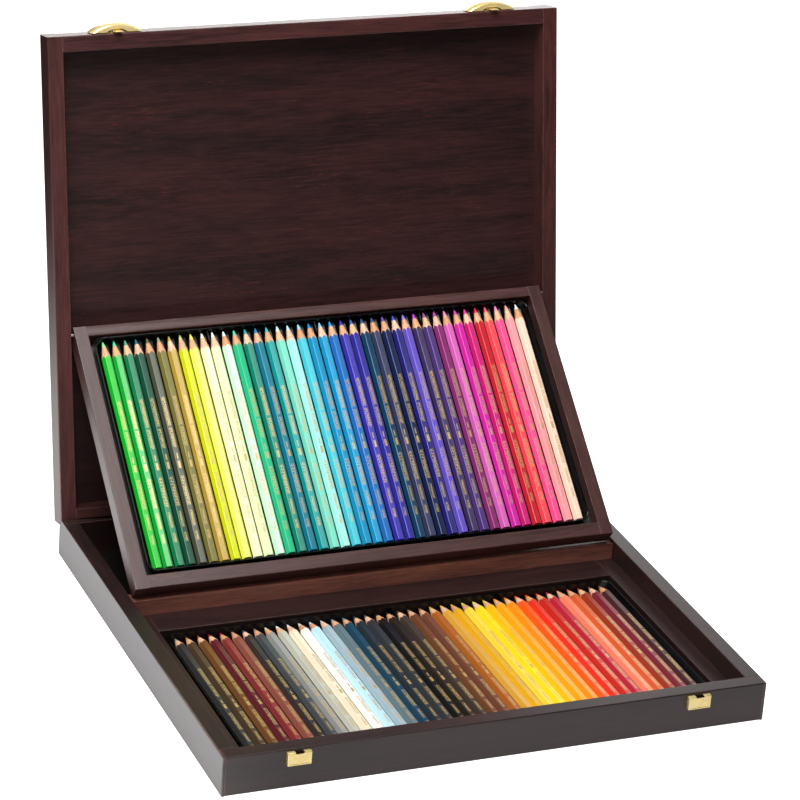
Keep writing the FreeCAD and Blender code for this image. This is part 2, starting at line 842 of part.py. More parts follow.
save("base_hinge_leaves", [hinge_leaf(x, 0) for x in hinge_centres()])
save("lid_hinge_leaves", [open_lid(hinge_leaf(x, 1)) for x in hinge_centres()])
save("hinge_pins", [rod_x(hinge_pin_radius, x - hinge_length / 2, x + hinge_length / 2, hinge_y, hinge_z)
                    for x in hinge_centres()])
save("base_hinge_screws", [hinge_screw(x, 0) for c in hinge_centres() for x in screw_places(c)])
save("lid_hinge_screws", [open_lid(hinge_screw(x, 1)) for c in hinge_centres()
                          for x in screw_places(c)])

latch_centres = (-latch_spacing / 2, latch_spacing / 2)
save("latch_plates", [open_lid(latch_plate(x)) for x in latch_centres])
save("latch_pins", [open_lid(latch_pin(x)) for x in latch_centres])
save("latch_screws", [open_lid(latch_screw(x)) for x in latch_screw_places()])
for node, centre in zip(("latch_lever_left", "latch_lever_right"), latch_centres):
    save(node, [open_lid(latch_lever(centre))])
for node, centre in zip(("catch_plate_left", "catch_plate_right"), latch_centres):
    save(node, [catch_plate(centre)])

save_pair("tray_left_stile", "tray_right_stile", tray_stile(), lean_tray)
save("tray_bottom_rail", [lean_tray(tray_rail(tray_lower_end, tray_lower_end + bottom_rail))])
save("tray_top_rail", [lean_tray(tray_rail(tray_upper_end - top_rail, tray_upper_end))])
save("tray_panel", [lean_tray(tray_rebate())])

insert_solid = insert()
lower_origin = vec(0, well_back - well_back_gap - insert_length, base_panel)
upper_origin = vec(0, tray_upper_end - top_rail - insert_top_gap - insert_length, tray_floor)
lower_insert = insert_solid.copy()
lower_insert.translate(lower_origin)
upper_insert = insert_solid.copy()
upper_insert.translate(upper_origin)
save("lower_insert", [lower_insert])
save("upper_insert", [lean_tray(upper_insert)])
save_pencils("lower", lower_origin, as_drawn)
save_pencils("upper", upper_origin, lean_tray)

latch_y, latch_z = latch_axis()
latch_y, latch_z = lid_point(hinge_y - latch_y, latch_z - rim)
print("case %.8f x %.8f, base %.8f high" % (case_width, case_depth, base_height))
print("lid hinge at y %.8f z %.8f" % (hinge_y, hinge_z))
print("tray pins at y %.8f z %.8f" % (pin_y, pin_z))
print("latch pins at y %.8f z %.8f" % (latch_y, latch_z))
print("tray tilt open %.6f closed %.6f ratio %.8f" % (tray_tilt, closed_tilt, tray_ratio))
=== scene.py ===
import json
import math

import bmesh
import bpy
from mathutils import Matrix, Vector


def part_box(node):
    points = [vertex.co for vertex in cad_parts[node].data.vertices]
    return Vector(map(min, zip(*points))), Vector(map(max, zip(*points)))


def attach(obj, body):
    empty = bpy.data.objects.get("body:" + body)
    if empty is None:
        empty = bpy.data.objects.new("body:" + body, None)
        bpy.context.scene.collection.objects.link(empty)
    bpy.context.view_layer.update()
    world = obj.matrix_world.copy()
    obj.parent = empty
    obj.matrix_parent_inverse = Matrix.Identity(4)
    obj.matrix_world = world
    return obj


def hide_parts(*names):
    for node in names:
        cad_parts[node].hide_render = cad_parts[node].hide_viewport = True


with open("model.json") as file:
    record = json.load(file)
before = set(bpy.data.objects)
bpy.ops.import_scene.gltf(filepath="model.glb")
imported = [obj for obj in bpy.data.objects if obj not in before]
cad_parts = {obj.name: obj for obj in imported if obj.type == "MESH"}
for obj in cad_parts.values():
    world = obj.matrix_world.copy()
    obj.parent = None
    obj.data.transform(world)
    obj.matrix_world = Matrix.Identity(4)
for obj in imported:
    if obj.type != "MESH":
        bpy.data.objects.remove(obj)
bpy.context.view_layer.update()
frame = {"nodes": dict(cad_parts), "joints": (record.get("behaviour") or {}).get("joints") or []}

# Looks of the open pencil box: eased and stained boards, brass fittings, glossy formed inserts and
# eighty lacquered pencils. Sizes are in millimetres and angles in degrees, unless a name or comment
# says otherwise. Meshes, lights and textures are in metres.

MM = 0.001

OPEN_ANGLE = 102.0     # the lid's, from closed
TRAY_TILT = 38.798067  # the tray's, from level
JOINT_PLACES = {joint["name"]: Vector(joint["pos_m"]) for joint in frame["joints"]}


def turned_about(place, degrees):
    """Frame of a piece that is turned about the X line through a place."""
    return Matrix.Translation(place) @ Matrix.Rotation(math.radians(degrees), 4, "X")


BASE = Matrix.Identity(4)
LID = turned_about(JOINT_PLACES["lid_hinge"], -OPEN_ANGLE)
TRAY = turned_about(JOINT_PLACES["tray_pivot"], TRAY_TILT)

# ---- camera, floor and light --------------------------------------------------------------------

LENS = 160.77987        # focal length
SENSOR = 36.0
AZIMUTH = -23.994
ELEVATION = 24.308
ROLL = 4.582
AIM = Vector((1.327832, 34.271096, 161.061514))
DISTANCE = 2411.471646  # from the aim point


def make_camera():
    """Camera that looks at the aim point, from an azimuth and a height, a little rolled."""
    az, el, roll = (math.radians(angle) for angle in (AZIMUTH, ELEVATION, ROLL))
    back = Vector((math.sin(az) * math.cos(el), -math.cos(az) * math.cos(el), math.sin(el)))
    side = (-back).cross(Vector((0, 0, 1))).normalized()
    up = side.cross(-back)
    x_axis = math.cos(roll) * side + math.sin(roll) * up
    y_axis = math.cos(roll) * up - math.sin(roll) * side
    turn = Matrix([[x_axis[i], y_axis[i], back[i]] for i in range(3)])
    data = bpy.data.cameras.new("camera")
    data.sensor_width = SENSOR
    data.lens = LENS
    data.clip_end = 50
    camera = bpy.data.objects.new("camera", data)
    camera.matrix_world = Matrix.Translation((AIM + back * DISTANCE) * MM) @ turn.to_4x4()
    bpy.context.scene.collection.objects.link(camera)
    bpy.context.scene.camera = camera


def make_light(name, place, aim, size, power):
    """Square soft light, which the camera doesn't see. Size in metres, power in watts."""
    data = bpy.data.lights.new(name, "AREA")
    data.shape = "SQUARE"
    data.size = size
    data.energy = power
    lamp = bpy.data.objects.new(name, data)
    lamp.location = place
    lamp.rotation_euler = (Vector(aim) - Vector(place)).to_track_quat("-Z", "Y").to_euler()
    lamp.visible_camera = False
    bpy.context.scene.collection.objects.link(lamp)


def make_world(seen, unseen):
    """Even backdrop: one strength as the camera sees it, and another as it lights the object."""
    world = bpy.data.worlds.new("studio")
    world.use_nodes = True
    tree = world.node_tree
    background = tree.nodes["Background"]
    ray = tree.nodes.new("ShaderNodeLightPath").outputs["Is Camera Ray"]
    strength = tree.nodes.new("ShaderNodeMix")
    tree.links.new(ray, strength.inputs["Factor"])
    strength.inputs["A"].default_value = unseen
    strength.inputs["B"].default_value = seen
    tree.links.new(strength.outputs["Result"], background.inputs["Strength"])
    bpy.context.scene.world = world


make_camera()
make_world(seen=1.0, unseen=0.16)
make_light("overhead", (-0.36, -0.2, 1.4), (-0.05, 0.0, 0.1), 0.95, 29)
make_light("front", (-0.75, -1.7, 0.75), (0, 0, 0.15), 0.9, 5)
make_light("behind", (0.9, 1.1, 1.0), (0, -0.08, 0.02), 1.1, 2.6)
make_light("backdrop", (0.95, 2.5, 0.3), (0, 0.2, 0.3), 1.3, 16)
bpy.context.scene.view_settings.view_transform = "Standard"

# ---- node building ------------------------------------------------------------------------------


def feed(tree, socket, value):
    """Links a socket to another one, or sets its value."""
    if isinstance(value, bpy.types.NodeSocket):
        tree.links.new(value, socket)
    else:
        socket.default_value = value


def add(tree, kind, settings=None, **inputs):
    """New node of a kind, with its settings and its inputs; an input i0, i1... is given by number."""
    node = tree.nodes.new("ShaderNode" + kind)
    for key, value in (settings or {}).items():
        setattr(node, key, value)
    for key, value in inputs.items():
        number = key[1:]
        socket = node.inputs[int(number)] if number.isdigit() else node.inputs[key.replace("_", " ")]
        feed(tree, socket, value)
    return node


def maths(tree, operation, a, b=0.0, c=0.0, clamp=False):
    node = add(tree, "Math", {"operation": operation, "use_clamp": clamp}, i0=a, i1=b, i2=c)
    return node.outputs[0]


def span(tree, value, low, high):
    """0 below low, 1 above high, smooth between."""
    node = add(tree, "MapRange", {"interpolation_type": "SMOOTHSTEP"}, Value=value,
               From_Min=low, From_Max=high)
    return node.outputs[0]


def blend(tree, mask, a, b):
    """Colour a where the mask is 0 and b where it is 1."""
    node = add(tree, "Mix", {"data_type": "RGBA"}, i0=mask, i6=a, i7=b)
    return node.outputs[2]


def noise(tree, vector, scale, detail=3.0, roughness=0.55):
    return add(tree, "TexNoise", Vector=vector, Scale=scale, Detail=detail, Roughness=roughness).outputs[0]


def stretch(tree, vector, scale):
    """Scales a place on each axis, so that one noise is coarse along a board and fine across it."""
    return add(tree, "Mapping", Vector=vector, Scale=scale).outputs[0]


def new_group(name, inputs, outputs):
    """Node group with named inputs (label, kind, value) and outputs (label, kind)."""
    tree = bpy.data.node_groups.new(name, "ShaderNodeTree")
    kinds = {"float": "NodeSocketFloat", "colour": "NodeSocketColor", "vector": "NodeSocketVector"}
    for label, kind, value in inputs:
        socket = tree.interface.new_socket(label, in_out="INPUT", socket_type=kinds[kind])
        if value is not None:
            socket.default_value = value
    for label, kind in outputs:
        tree.interface.new_socket(label, in_out="OUTPUT", socket_type=kinds[kind])
    entry = tree.nodes.new("NodeGroupInput")
    leave = tree.nodes.new("NodeGroupOutput")
    return tree, entry.outputs, leave.inputs


def use_group(tree, group, **inputs):
    node = tree.nodes.new("ShaderNodeGroup")
    node.node_tree = group
    for key, value in inputs.items():
        feed(tree, node.inputs[key.replace("_", " ")], value)
    return node.outputs


def rgba(code):
    """Linear colour of a six-figure paint code."""
    parts = [(code >> shift & 255) / 255 for shift in (16, 8, 0)]
    return [c / 12.92 if c <= 0.04045 else ((c + 0.055) / 1.055) ** 2.4 for c in parts] + [1.0]


# ---- effects that several materials use ----------------------------------------------------------


def wood_figure_group():
    """Grain that runs along X: pores, fibres, wide figure and scattered bright flecks.

    Each stretch is per metre, first along the grain and then twice across it.
    """
    tree, given, result = new_group(
        "wood_figure",
        [("Vector", "vector", None), ("Dark", "colour", None), ("Light", "colour", None),
         ("Fleck", "colour", None), ("Fleck Amount", "float", 0.3), ("Contrast", "float", 1.0)],
        [("Color", "colour"), ("Height", "float"), ("Gloss", "float")])
    place = given["Vector"]
    figure = noise(tree, stretch(tree, place, (7, 60, 60)), 1.0, 3.0)
    fibres = noise(tree, stretch(tree, place, (45, 900, 900)), 1.0, 3.0, 0.6)
    pores = noise(tree, stretch(tree, place, (160, 2600, 2600)), 1.0, 2.0, 0.5)
    cloud = noise(tree, stretch(tree, place, (16, 30, 30)), 1.0, 3.0)
    tone = maths(tree, "MULTIPLY_ADD", span(tree, fibres, 0.36, 0.66), 0.5,
                 maths(tree, "MULTIPLY", span(tree, figure, 0.34, 0.66), 0.5))
    tone = maths(tree, "MULTIPLY_ADD", maths(tree, "SUBTRACT", tone, 0.5), given["Contrast"], 0.5, True)
    stained = blend(tree, tone, given["Dark"], given["Light"])
    pore_mask = span(tree, pores, 0.6, 0.7)
    stained = blend(tree, maths(tree, "MULTIPLY", pore_mask, 0.45), stained, given["Dark"])
    streak = span(tree, noise(tree, stretch(tree, place, (90, 900, 900)), 1.0, 3.0, 0.65), 0.55, 0.78)
    patch = span(tree, cloud, 0.42, 0.68)
    fleck = maths(tree, "MULTIPLY", maths(tree, "MULTIPLY", streak, patch), given["Fleck Amount"])
    feed(tree, result["Color"], blend(tree, fleck, stained, given["Fleck"]))
    feed(tree, result["Height"], maths(tree, "SUBTRACT", maths(tree, "MULTIPLY", fibres, 0.6), pore_mask))
    feed(tree, result["Gloss"], maths(tree, "SUBTRACT", fibres, 0.5))
    return tree


def wear_and_highlight_group():
    """Mask of the rubbed edges, which also paints a highlight along them: where a rounded normal leaves the
    true one, broken up by noise.
    """
    tree, given, result = new_group(
        "edge_wear", [("Vector", "vector", None), ("Radius", "float", 0.001), ("Amount", "float", 0.5)],
        [("Mask", "float")])
    rounded = add(tree, "Bevel", {"samples": 6}, Radius=given["Radius"]).outputs[0]
    true = tree.nodes.new("ShaderNodeNewGeometry").outputs["True Normal"]
    facing = add(tree, "VectorMath", {"operation": "DOT_PRODUCT"}, i0=rounded, i1=true).outputs["Value"]
    turned = span(tree, maths(tree, "SUBTRACT", 1.0, facing), 0.015, 0.17)
    broken = span(tree, noise(tree, given["Vector"], 240.0, 4.0, 0.7), 0.38, 0.62)
    share = maths(tree, "MULTIPLY_ADD", broken, 0.6, 0.4)
    worn_and_highlit = maths(tree, "MULTIPLY", turned, share)
    feed(tree, result["Mask"], maths(tree, "MULTIPLY", worn_and_highlit, given["Amount"]))
    return tree


def handling_group():
    """Roughness of a surface that hands have touched: cloudy, between two values."""
    tree, given, result = new_group(
        "handling", [("Vector", "vector", None), ("Scale", "float", 40.0), ("Low", "float", 0.2),
                     ("High", "float", 0.35)],
        [("Roughness", "float"), ("Cloud", "float")])
    cloud = span(tree, noise(tree, given["Vector"], given["Scale"], 5.0, 0.6), 0.3, 0.7)
    gap = maths(tree, "SUBTRACT", given["High"], given["Low"])
    feed(tree, result["Roughness"], maths(tree, "MULTIPLY_ADD", cloud, gap, given["Low"]))
    feed(tree, result["Cloud"], cloud)
    return tree


FIGURE = wood_figure_group()
WEAR_AND_HIGHLIGHT = wear_and_highlight_group()
HANDLING = handling_group()

# ---- materials ----------------------------------------------------------------------------------


def new_material(name):
    """Material with one Principled shader; returns it, its tree and the shader's inputs."""
    material = bpy.data.materials.new(name)
    material.use_nodes = True
    tree = material.node_tree
    tree.nodes.clear()
    shader = tree.nodes.new("ShaderNodeBsdfPrincipled")
    target = tree.nodes.new("ShaderNodeOutputMaterial")
    tree.links.new(shader.outputs[0], target.inputs["Surface"])
    return material, tree, shader.inputs


def object_place(tree, turn=(0, 0, 0), shift=(0, 0, 0)):
    """Object coordinates, turned in degrees and then shifted in metres."""
    coordinates = tree.nodes.new("ShaderNodeTexCoord").outputs["Object"]
    radians = [math.radians(angle) for angle in turn]
    return add(tree, "Mapping", Vector=coordinates, Rotation=radians, Location=shift).outputs[0]


# Colour of the rubbed edges, lighter than the stain: wear, and a painted highlight along the edges.
WORN_AND_HIGHLIT_WOOD = 0x966E62


def stained_wood(name, turn, stain, fleck_amount=0.5, contrast=1.0, wear_and_highlight=0.6, coat=0.4, shift=(0, 0, 0)):
    """Stained, satin-lacquered wood, its edges lightened as rubbed wear and as a painted highlight. The turn
    brings the board's length onto X.
    """
    material, tree, shader = new_material(name)
    place = object_place(tree, turn, shift)
    dark, light, fleck = stain
    figure = use_group(tree, FIGURE, Vector=place, Dark=rgba(dark), Light=rgba(light), Fleck=rgba(fleck),
                       Fleck_Amount=fleck_amount, Contrast=contrast)
    # Edges lightened as rubbed wear and as a painted highlight.
    worn_and_highlit = use_group(tree, WEAR_AND_HIGHLIGHT, Vector=place, Radius=0.0008, Amount=wear_and_highlight)["Mask"]
    feed(tree, shader["Base Color"], blend(tree, worn_and_highlit, figure["Color"], rgba(WORN_AND_HIGHLIT_WOOD)))
    gloss = maths(tree, "MULTIPLY_ADD", figure["Gloss"], 0.2, 0.4)
    feed(tree, shader["Roughness"], maths(tree, "MULTIPLY_ADD", worn_and_highlit, 0.12, gloss, True))
    shader["Coat Weight"].default_value = coat
    shader["Coat Roughness"].default_value = 0.34
    eased = add(tree, "Bevel", {"samples": 4}, Radius=0.0005).outputs[0]
    bump = add(tree, "Bump", Strength=0.2, Distance=0.0001, Height=figure["Height"], Normal=eased)
    feed(tree, shader["Normal"], bump.outputs[0])
    return material


def brass_metal(name, metallic):
    """Pale polished brass under clear lacquer."""
    material, tree, shader = new_material(name)
    place = object_place(tree)
    handled = use_group(tree, HANDLING, Vector=place, Scale=160.0, Low=0.2, High=0.3)
    feed(tree, shader["Base Color"], blend(tree, handled["Cloud"], rgba(0xFFE8A8), rgba(0xF8DA90)))
    feed(tree, shader["Roughness"], handled["Roughness"])
    shader["Metallic"].default_value = metallic
    eased = add(tree, "Bevel", {"samples": 4}, Radius=0.0003).outputs[0]
    grain = noise(tree, stretch(tree, place, (300, 2000, 2000)), 1.0, 2.0)
    bump = add(tree, "Bump", Strength=0.04, Distance=0.00004, Height=grain, Normal=eased)
    feed(tree, shader["Normal"], bump.outputs[0])
    return material


def pin_steel():
    material, tree, shader = new_material("pin_steel")
    place = object_place(tree)
    handled = use_group(tree, HANDLING, Vector=place, Scale=300.0, Low=0.22, High=0.4)
    feed(tree, shader["Base Color"], blend(tree, handled["Cloud"], rgba(0xC4C4C8), rgba(0x9A9AA0)))
    feed(tree, shader["Roughness"], handled["Roughness"])
    shader["Metallic"].default_value = 1.0
    return material


def formed_black():
    """Vacuum-formed glossy black sheet."""
    material, tree, shader = new_material("formed_black_sheet")
    place = object_place(tree)
    handled = use_group(tree, HANDLING, Vector=place, Scale=30.0, Low=0.2, High=0.32)
    feed(tree, shader["Base Color"], blend(tree, handled["Cloud"], rgba(0x040405), rgba(0x08090A)))
    feed(tree, shader["Roughness"], handled["Roughness"])
    shader["Specular IOR Level"].default_value = 0.28
    waves = noise(tree, place, 55.0, 2.0)
    bump = add(tree, "Bump", Strength=0.25, Distance=0.0006, Height=waves)
    feed(tree, shader["Normal"], bump.outputs[0])
    return material


def pencil_attribute(tree, name):
    """Colour that each pencil carries for one of its parts: paint, timber or core."""
    return add(tree, "Attribute", {"attribute_name": name}).outputs["Color"]


IMPRINT_SPAN = 200.0  # length along the pencil for 1 in its imprint map
# Bands of foil along a pencil: where each begins and ends, from the flat end, the pitch of its strokes,
# and how much of the facet's width it covers to each side. A pitch of 0 is a plain bar.
FOIL_BANDS = [(17.5, 24, 1.4, 0.27), (28, 40, 1.5, 0.24), (44, 66, 2.3, 0.34), (72, 77.5, 0, 0.24),
              (79, 83.5, 0, 0.12), (88, 103, 1.75, 0.32), (105, 127, 1.75, 0.32)]


def foil_group():
    """Mask of the stamped foil: rows of short strokes on one facet, read in the pencil's own map."""
    tree, given, result = new_group("foil_strokes", [("Vector", "vector", None)], [("Mask", "float")])
    parts = add(tree, "SeparateXYZ", Vector=given["Vector"]).outputs
    along = maths(tree, "MULTIPLY", parts["X"], IMPRINT_SPAN)
    side = maths(tree, "SUBTRACT", parts["Y"], 0.5)
    across = maths(tree, "ABSOLUTE", side)

    def both(a, b):
        return maths(tree, "MULTIPLY", a, b)

    def below(a, b):
        return maths(tree, "LESS_THAN", a, b)

    def above(a, b):
        return maths(tree, "GREATER_THAN", a, b)

    total = None
    for start, end, pitch, half in FOIL_BANDS:
        band = both(both(above(along, start), below(along, end)), below(across, half))
        if pitch:
            count = maths(tree, "DIVIDE", along, pitch)
            number = maths(tree, "FLOOR", count)
            share = maths(tree, "FRACT", count)
            first = add(tree, "TexWhiteNoise", {"noise_dimensions": "1D"}, W=number).outputs["Value"]
            second = add(tree, "TexWhiteNoise", {"noise_dimensions": "1D"},
                         W=maths(tree, "ADD", number, 61.7)).outputs["Value"]
            stem = below(share, 0.26)
            height = maths(tree, "MULTIPLY", maths(tree, "SUBTRACT", first, 0.5), half * 1.6)
            rise = maths(tree, "ABSOLUTE", maths(tree, "SUBTRACT", side, height))
            bar = both(below(share, 0.76), below(rise, 0.06))
            reach = maths(tree, "MULTIPLY", maths(tree, "SUBTRACT", second, 0.7), half * 2.0)
            far = both(both(above(share, 0.5), below(share, 0.76)), above(side, reach))
            band = both(band, maths(tree, "MAXIMUM", stem, maths(tree, "MAXIMUM", bar, far)))
        total = band if total is None else maths(tree, "MAXIMUM", total, band)
    feed(tree, result["Mask"], total)
    return tree


def pencil_lacquer():
    """Smooth glossy paint, with gold foil stamped on one facet."""
    material, tree, shader = new_material("pencil_lacquer")
    place = object_place(tree)
    imprint = add(tree, "UVMap", {"uv_map": "imprint"}).outputs[0]
    foil = use_group(tree, foil_group(), Vector=imprint)["Mask"]
    worn = span(tree, noise(tree, place, 1400.0, 2.0), 0.3, 0.5)
    foil = maths(tree, "MULTIPLY", foil, maths(tree, "MULTIPLY_ADD", worn, 0.25, 0.7))
    handled = use_group(tree, HANDLING, Vector=place, Scale=60.0, Low=0.3, High=0.36)
    feed(tree, shader["Base Color"], blend(tree, foil, pencil_attribute(tree, "paint"), rgba(0xDFBE78)))
    feed(tree, shader["Roughness"], handled["Roughness"])
    feed(tree, shader["Metallic"], maths(tree, "MULTIPLY", foil, 0.45))
    shader["Specular IOR Level"].default_value = 0.75
    shader["Sheen Weight"].default_value = 0.12
    shader["Sheen Roughness"].default_value = 0.35
    shader["Coat Weight"].default_value = 0.35
    shader["Coat Roughness"].default_value = 0.14
    eased = add(tree, "Bevel", {"samples": 4}, Radius=0.00025).outputs[0]
    waves = noise(tree, stretch(tree, place, (300, 40, 300)), 1.0, 1.0)
    bump = add(tree, "Bump", Strength=0.05, Distance=0.0001, Height=waves, Normal=eased)
    feed(tree, shader["Normal"], bump.outputs[0])
    return material


def bare_wood():
    """Sharpened cone of light pencil wood."""
    material, tree, shader = new_material("bare_pencil_wood")
    place = object_place(tree)
    fibres = span(tree, noise(tree, stretch(tree, place, (1700, 110, 1700)), 1.0, 3.0, 0.6), 0.3, 0.7)
    timber = pencil_attribute(tree, "timber")
    shaded = add(tree, "Mix", {"data_type": "RGBA", "blend_type": "MULTIPLY"}, i0=0.8, i6=timber,
                 i7=rgba(0xD8B090)).outputs[2]
    feed(tree, shader["Base Color"], blend(tree, fibres, shaded, timber))
    shader["Roughness"].default_value = 0.6
    bump = add(tree, "Bump", Strength=0.3, Distance=0.0001, Height=fibres)
    feed(tree, shader["Normal"], bump.outputs[0])
    return material


def pigment_core():
    material, tree, shader = new_material("pigment_core")
    place = object_place(tree)
    grain = noise(tree, place, 1800.0, 2.0)
    dim = maths(tree, "MULTIPLY", span(tree, grain, 0.3, 0.7), 0.1)
    feed(tree, shader["Base Color"], blend(tree, dim, pencil_attribute(tree, "core"), rgba(0x302828)))
    shader["Roughness"].default_value = 0.4
    bump = add(tree, "Bump", Strength=0.25, Distance=0.00008, Height=grain)
    feed(tree, shader["Normal"], bump.outputs[0])
    return material


# The floor glows as a painted pool of light: where it reaches from the middle of the case, and where it
# turns dimmer.
PAINTED_GLOW_REACH = (0.4, 0.85)    # from the middle of the case: where the bright floor begins and ends to fade
PAINTED_GLOW_SIDE = (-0.24, -0.14)  # X between the bright left part and the dimmer right part
DIMMER = 0.45


def studio_floor():
    """White sheet, as the camera sees it; in reflections and in the light it sheds, a glowing painted pool
    of light beside the case's left, dim elsewhere.
    """
    material, tree, shader = new_material("studio_floor")
    place = object_place(tree)
    away = add(tree, "VectorMath", {"operation": "LENGTH"}, i0=place).outputs["Value"]
    near = maths(tree, "SUBTRACT", 1.0, span(tree, away, *PAINTED_GLOW_REACH))
    right = span(tree, add(tree, "SeparateXYZ", Vector=place).outputs["X"], *PAINTED_GLOW_SIDE)
    near = maths(tree, "MULTIPLY", near, maths(tree, "MULTIPLY_ADD", right, DIMMER - 1.0, 1.0))
    # The camera sees the plain white sheet; every other ray sees the painted glow.
    seen = maths(tree, "MAXIMUM", near, tree.nodes.new("ShaderNodeLightPath").outputs["Is Camera Ray"])
    feed(tree, shader["Base Color"], blend(tree, seen, rgba(0x202020), rgba(0xE8E8E8)))
    feed(tree, shader["Emission Color"], blend(tree, seen, rgba(0x181818), rgba(0xFFFFFF)))
    shader["Emission Strength"].default_value = 1.0
    shader["Roughness"].default_value = 0.9
    shader["Specular IOR Level"].default_value = 0.1
    return material


# Turns that bring a board's length onto X.
ALONG_X = (0, 0, 0)
ALONG_Y = (0, 0, -90)
UP_THE_LID = (OPEN_ANGLE, 0, -90)
ACROSS_THE_TRAY = (-TRAY_TILT, 0, 0)
UP_THE_TRAY = (-TRAY_TILT, 0, -90)

# Stains: colour of the pores, of the wood and of the flecks.
BASE_STAIN = (0x190E0D, 0x341C1A, 0x5C2E28)
BASE_SIDE_STAIN = (0x190E0D, 0x311B1A, 0x5C2E28)
# Stain of the partition, lighter than the other boards': painted light on its front face.
PARTITION_STAIN_AND_PAINTED_LIGHT = (0x5E352F, 0x98604F, 0xA8705C)
# Stain of the back batten, darker than the other boards': painted shade.
SHELF_STAIN_AND_PAINTED_SHADE = (0x180C0C, 0x2E1918, 0x5C3430)
LID_STAIN = (0x2C1616, 0x542C2A, 0x7A3C34)
PANEL_STAIN = (0x1E0E0F, 0x3A1C1C, 0x683028)
TRAY_STAIN = (0x301917, 0x54322E, 0x744640)
WELL_STAIN = (0x080506, 0x140C0C, 0x281614)

ACROSS = stained_wood("stained_wood_across", ALONG_X, BASE_STAIN, coat=0.34)
BASE_SIDES = stained_wood("stained_wood_base_sides", ALONG_Y, BASE_SIDE_STAIN, shift=(0.3, 0, 0))
PARTITION_PAINTED_LIGHT = stained_wood("stained_wood_partition", ALONG_X, PARTITION_STAIN_AND_PAINTED_LIGHT, fleck_amount=0.6, contrast=0.9,
                         wear_and_highlight=0.3, coat=0.2)
SHELF_PAINTED_SHADE = stained_wood("stained_wood_shelf", ALONG_X, SHELF_STAIN_AND_PAINTED_SHADE, fleck_amount=0.6, coat=0.3)
LID_ACROSS = stained_wood("stained_wood_lid_across", ALONG_X, LID_STAIN, coat=0.15)
LID_SIDES = stained_wood("stained_wood_lid_sides", UP_THE_LID, LID_STAIN, coat=0.15)
LID_PANEL = stained_wood("stained_panel_board", ALONG_X, PANEL_STAIN, fleck_amount=0.65, contrast=1.1,
                         wear_and_highlight=0.2, coat=0.1)
TRAY_SIDES = stained_wood("stained_wood_tray_sides", UP_THE_TRAY, TRAY_STAIN)
TRAY_ACROSS = stained_wood("stained_wood_tray_across", ACROSS_THE_TRAY, TRAY_STAIN)
WELL_BOARD = stained_wood("stained_well_board", ALONG_X, WELL_STAIN, fleck_amount=0.3, contrast=0.8,
                          wear_and_highlight=0.2)
BRASS = brass_metal("polished_brass", 0.7)
# The bows' copy of the brass is less metallic, so that its pale colour shows brighter: painted light.
BOW_BRASS_PAINTED_LIGHT = brass_metal("polished_brass_bow", 0.45)
STEEL = pin_steel()
BLACK = formed_black()
LACQUER = pencil_lacquer()
BARE = bare_wood()
CORE = pigment_core()
FLOOR = studio_floor()

# ---- mesh helpers -------------------------------------------------------------------------------


def extent(node, place):
    """Lowest and highest corner of a CAD node, in the frame of what carries it."""
    inverse = place.inverted()
    points = [inverse @ vertex.co for vertex in frame["nodes"][node].data.vertices]
    return (Vector([min(p[i] for p in points) for i in range(3)]),
            Vector([max(p[i] for p in points) for i in range(3)]))


def cube(bm, low, high):
    """Adds a box between two corners and returns its corner points."""
    size = high - low
    made = bmesh.ops.create_cube(bm, size=1.0)["verts"]
    bmesh.ops.scale(bm, vec=size, verts=made)
    bmesh.ops.translate(bm, vec=(low + high) / 2, verts=made)
    return made


def edges_of(verts):
    """Edges at some points, each once and in a fixed order."""
    return list(dict.fromkeys(edge for vert in verts for edge in vert.link_edges))


def round_edges(bm, edges, width, segments):
    bmesh.ops.bevel(bm, geom=edges, offset=width, offset_type="OFFSET", segments=segments, profile=0.5,
                    affect="EDGES", material=-1, clamp_overlap=True)


def finish(bm, name, materials, body, nodes, place, crease):
    """Turns a bmesh, made in the frame of a place, into a finished piece."""
    bmesh.ops.recalc_face_normals(bm, faces=bm.faces)
    bmesh.ops.transform(bm, matrix=place, verts=bm.verts)
    mesh = bpy.data.meshes.new(name)
    bm.to_mesh(mesh)
    bm.free()
    return finish_mesh(mesh, name, materials, body, nodes, crease)


def finish_mesh(mesh, name, materials, body, nodes, crease=0):
    """Makes a mesh a piece that rides on a body and stands for its CAD nodes.

    Edges sharper than the crease angle stay sharp; with a crease of 0, every face is shaded flat.
    """
    for material in materials:
        mesh.materials.append(material)
    if crease:
        mesh.shade_smooth()
        mesh.set_sharp_from_angle(angle=math.radians(crease))
    piece = bpy.data.objects.new(name, mesh)
    bpy.context.scene.collection.objects.link(piece)
    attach(piece, body)
    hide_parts(*nodes)
    return piece


def merged_copy(node):
    """Copy of a CAD node's mesh with its points merged and its flat faces whole."""
    bm = bmesh.new()
    bm.from_mesh(frame["nodes"][node].data)
    bmesh.ops.remove_doubles(bm, verts=bm.verts, dist=1e-6)
    bmesh.ops.dissolve_limit(bm, angle_limit=math.radians(0.5), verts=bm.verts, edges=bm.edges)
    bm.normal_update()
    return bm


RIM_DEPTH = 0.2     # band along the lid's rim that is squeezed
RIM_SQUEEZE = 0.85


def clear_of_base(bm):
    """Squeezes the lid's rim by a hair, so that it doesn't share a plane with the base when closed."""
    from_depth = Matrix.Translation((0, 0, -RIM_DEPTH * MM)) @ LID.inverted()
    bmesh.ops.scale(bm, vec=(1, 1, RIM_SQUEEZE), space=from_depth,
                    verts=[vert for vert in bm.verts if (from_depth @ vert.co).z < 0])


TOUCH = 0.01        # within which two places count as one


